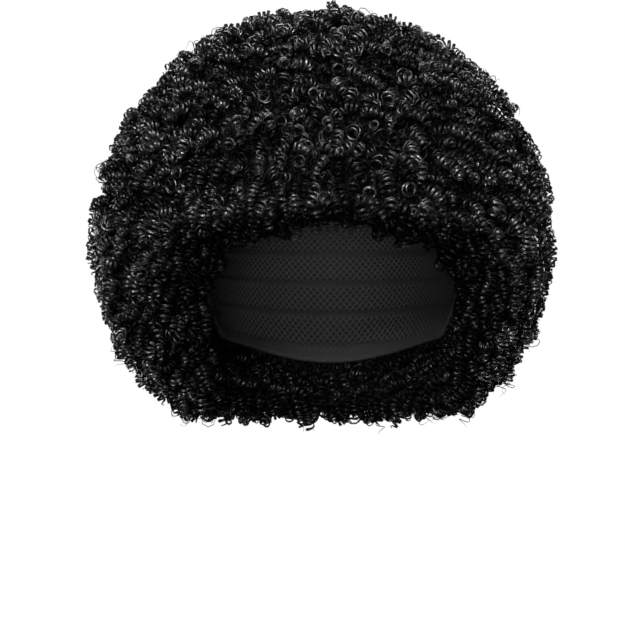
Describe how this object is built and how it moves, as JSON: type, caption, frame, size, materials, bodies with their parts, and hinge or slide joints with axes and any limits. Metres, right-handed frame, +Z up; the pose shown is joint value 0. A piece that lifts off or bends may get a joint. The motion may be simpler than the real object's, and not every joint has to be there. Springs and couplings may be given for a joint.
{
  "type": "disco wig",
  "caption": "Round black disco wig: a thin stretch cap that carries a deep ball of tight corkscrew curls, open below for a head and in front for the face.",
  "frame": {"origin": "the top of the inside of the cap, where the crown of a head carries the wig", "axes": "+Z up, face side towards -Y, +X towards the wearer's left"},
  "size_m": [0.2808, 0.2801, 0.2601],
  "materials": {
    "cap_net": "knitted stretch net, matt",
    "curled_hair": "curled synthetic fibre with a soft sheen"
  },
  "bodies": {
    "root": {"cap": "cap_net", "crown_weft": "curled_hair", "fringe_weft": "curled_hair", "left_side_weft": "curled_hair", "right_side_weft": "curled_hair", "upper_back_weft": "curled_hair", "nape_weft": "curled_hair"}
  },
  "joints": []
}
